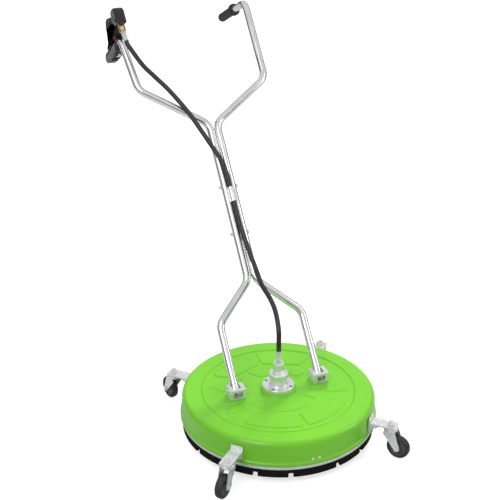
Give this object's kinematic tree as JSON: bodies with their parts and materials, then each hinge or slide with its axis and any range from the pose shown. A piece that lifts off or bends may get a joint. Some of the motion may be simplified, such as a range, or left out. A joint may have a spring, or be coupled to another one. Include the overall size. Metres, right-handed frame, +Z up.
{
  "type": "surface cleaner",
  "caption": "Walk-behind rotary surface cleaner: round deck with skirt and spray bar, swivel casters, tilting tube handle, hose and trigger gun.",
  "frame": {"origin": "centre of the bounding box's underside, on the ground", "axes": "+Z up, +Y from the deck towards the handle's grips, +X towards the plain grip's side; the handle tilts about X"},
  "size_m": [0.6232, 1.4708, 1.1791],
  "materials": {
    "green_paint": "gloss powder coat",
    "bristle_black": "matte",
    "polished_steel": "polished",
    "zinc_plate": "bright zinc plate",
    "machined_aluminium": "machined",
    "tyre_rubber": "matte",
    "wheel_core": "satin",
    "gun_plastic": "textured",
    "grip_rubber": "matte",
    "brass": "machined",
    "latch_red": "satin",
    "hose_rubber": "satin"
  },
  "bodies": {
    "deck": {"deck_housing": "green_paint", "skirt_band": "zinc_plate", "brush_front": "bristle_black", "brush_rear": "bristle_black", "hub_housing": "machined_aluminium", "hub_screw_1": "zinc_plate", "hub_screw_2": "zinc_plate", "hub_screw_3": "zinc_plate", "hub_screw_4": "zinc_plate", "swivel_inlet": "machined_aluminium", "hub_ferrule": "zinc_plate", "caster_bracket_front_right": "zinc_plate", "caster_stem_front_right": "zinc_plate", "caster_bracket_front_left": "zinc_plate", "caster_stem_front_left": "zinc_plate", "caster_bracket_rear_left": "zinc_plate", "caster_stem_rear_left": "zinc_plate", "caster_bracket_rear_right": "zinc_plate", "caster_stem_rear_right": "zinc_plate", "clamp_base_left": "machined_aluminium", "clamp_cap_left": "machined_aluminium", "pivot_pin_left": "zinc_plate", "clamp_base_right": "machined_aluminium", "clamp_cap_right": "machined_aluminium", "pivot_pin_right": "zinc_plate"},
    "rotor": {"rotor_shaft": "polished_steel", "spray_bar": "polished_steel", "nozzle_left": "brass", "nozzle_right": "brass"},
    "handle": {"handle_tube_left": "polished_steel", "handle_tube_right": "polished_steel", "cross_bolt_lower": "zinc_plate", "cross_bolt_upper": "zinc_plate", "hose_clip": "zinc_plate", "right_grip": "grip_rubber", "gun_shell_left": "gun_plastic", "gun_shell_right": "gun_plastic", "valve_body": "brass", "supply_inlet": "brass", "gun_ferrule": "zinc_plate", "hose": "hose_rubber"},
    "trigger": {"trigger": "gun_plastic"},
    "plunger": {"valve_plunger": "polished_steel"},
    "latch": {"safety_latch": "latch_red"},
    "fork_front_right": {"caster_fork_front_right": "zinc_plate", "caster_axle_front_right": "zinc_plate"},
    "wheel_front_right": {"caster_core_front_right": "wheel_core", "caster_tyre_front_right": "tyre_rubber"},
    "fork_front_left": {"caster_fork_front_left": "zinc_plate", "caster_axle_front_left": "zinc_plate"},
    "wheel_front_left": {"caster_core_front_left": "wheel_core", "caster_tyre_front_left": "tyre_rubber"},
    "fork_rear_left": {"caster_fork_rear_left": "zinc_plate", "caster_axle_rear_left": "zinc_plate"},
    "wheel_rear_left": {"caster_core_rear_left": "wheel_core", "caster_tyre_rear_left": "tyre_rubber"},
    "fork_rear_right": {"caster_fork_rear_right": "zinc_plate", "caster_axle_rear_right": "zinc_plate"},
    "wheel_rear_right": {"caster_core_rear_right": "wheel_core", "caster_tyre_rear_right": "tyre_rubber"}
  },
  "joints": [
    {"name": "rotor_spin", "type": "hinge", "parent": "deck", "child": "rotor", "pos_m": [0.00305, -0.41824, 0.088], "axis": [0, 0, 1], "continuous": true},
    {"name": "handle_tilt", "type": "hinge", "parent": "deck", "child": "handle", "pos_m": [0.00305, -0.40824, 0.157], "axis": [1, 0, 0], "range_deg": [-23, 41], "deforming": ["hose"]},
    {"name": "trigger_squeeze", "type": "hinge", "parent": "handle", "child": "trigger", "pos_m": [-0.24235, 0.45806, 1.14515], "axis": [1, 0, 0], "range_deg": [0, 13], "stiffness_Nm_per_rad": 1.5, "springref_deg": -11.46},
    {"name": "plunger_press", "type": "slide", "parent": "handle", "child": "plunger", "axis": [0.104, -0.6616, -0.7426], "range_m": [0, 0.0055]},
    {"name": "latch_swing", "type": "hinge", "parent": "trigger", "child": "latch", "pos_m": [-0.24235, 0.50734, 1.06471], "axis": [1, 0, 0], "range_deg": [0, 40]},
    {"name": "swivel_front_right", "type": "hinge", "parent": "deck", "child": "fork_front_right", "pos_m": [0.26574, -0.68093, 0.085], "axis": [0, 0, 1], "continuous": true},
    {"name": "roll_front_right", "type": "hinge", "parent": "fork_front_right", "child": "wheel_front_right", "pos_m": [0.28267, -0.7026, 0.0365], "axis": [0.788, 0.6157, 0], "continuous": true},
    {"name": "swivel_front_left", "type": "hinge", "parent": "deck", "child": "fork_front_left", "pos_m": [-0.25964, -0.68093, 0.085], "axis": [0, 0, 1], "continuous": true},
    {"name": "roll_front_left", "type": "hinge", "parent": "fork_front_left", "child": "wheel_front_left", "pos_m": [-0.28008, -0.69933, 0.0365], "axis": [0.6691, -0.7431, 0], "continuous": true},
    {"name": "swivel_rear_left", "type": "hinge", "parent": "deck", "child": "fork_rear_left", "pos_m": [-0.25964, -0.15555, 0.085], "axis": [0, 0, 1], "continuous": true},
    {"name": "roll_rear_left", "type": "hinge", "parent": "fork_rear_left", "child": "wheel_rear_left", "pos_m": [-0.26583, -0.12876, 0.0365], "axis": [-0.9744, -0.225, 0], "continuous": true},
    {"name": "swivel_rear_right", "type": "hinge", "parent": "deck", "child": "fork_rear_right", "pos_m": [0.26574, -0.15555, 0.085], "axis": [0, 0, 1], "continuous": true},
    {"name": "roll_rear_right", "type": "hinge", "parent": "fork_rear_right", "child": "wheel_rear_right", "pos_m": [0.27865, -0.13127, 0.0365], "axis": [-0.8829, 0.4695, 0], "continuous": true}
  ],
  "couplings": [
    {"joint": "plunger_press", "follows": "trigger_squeeze", "m_per_rad": 0.023}
  ]
}
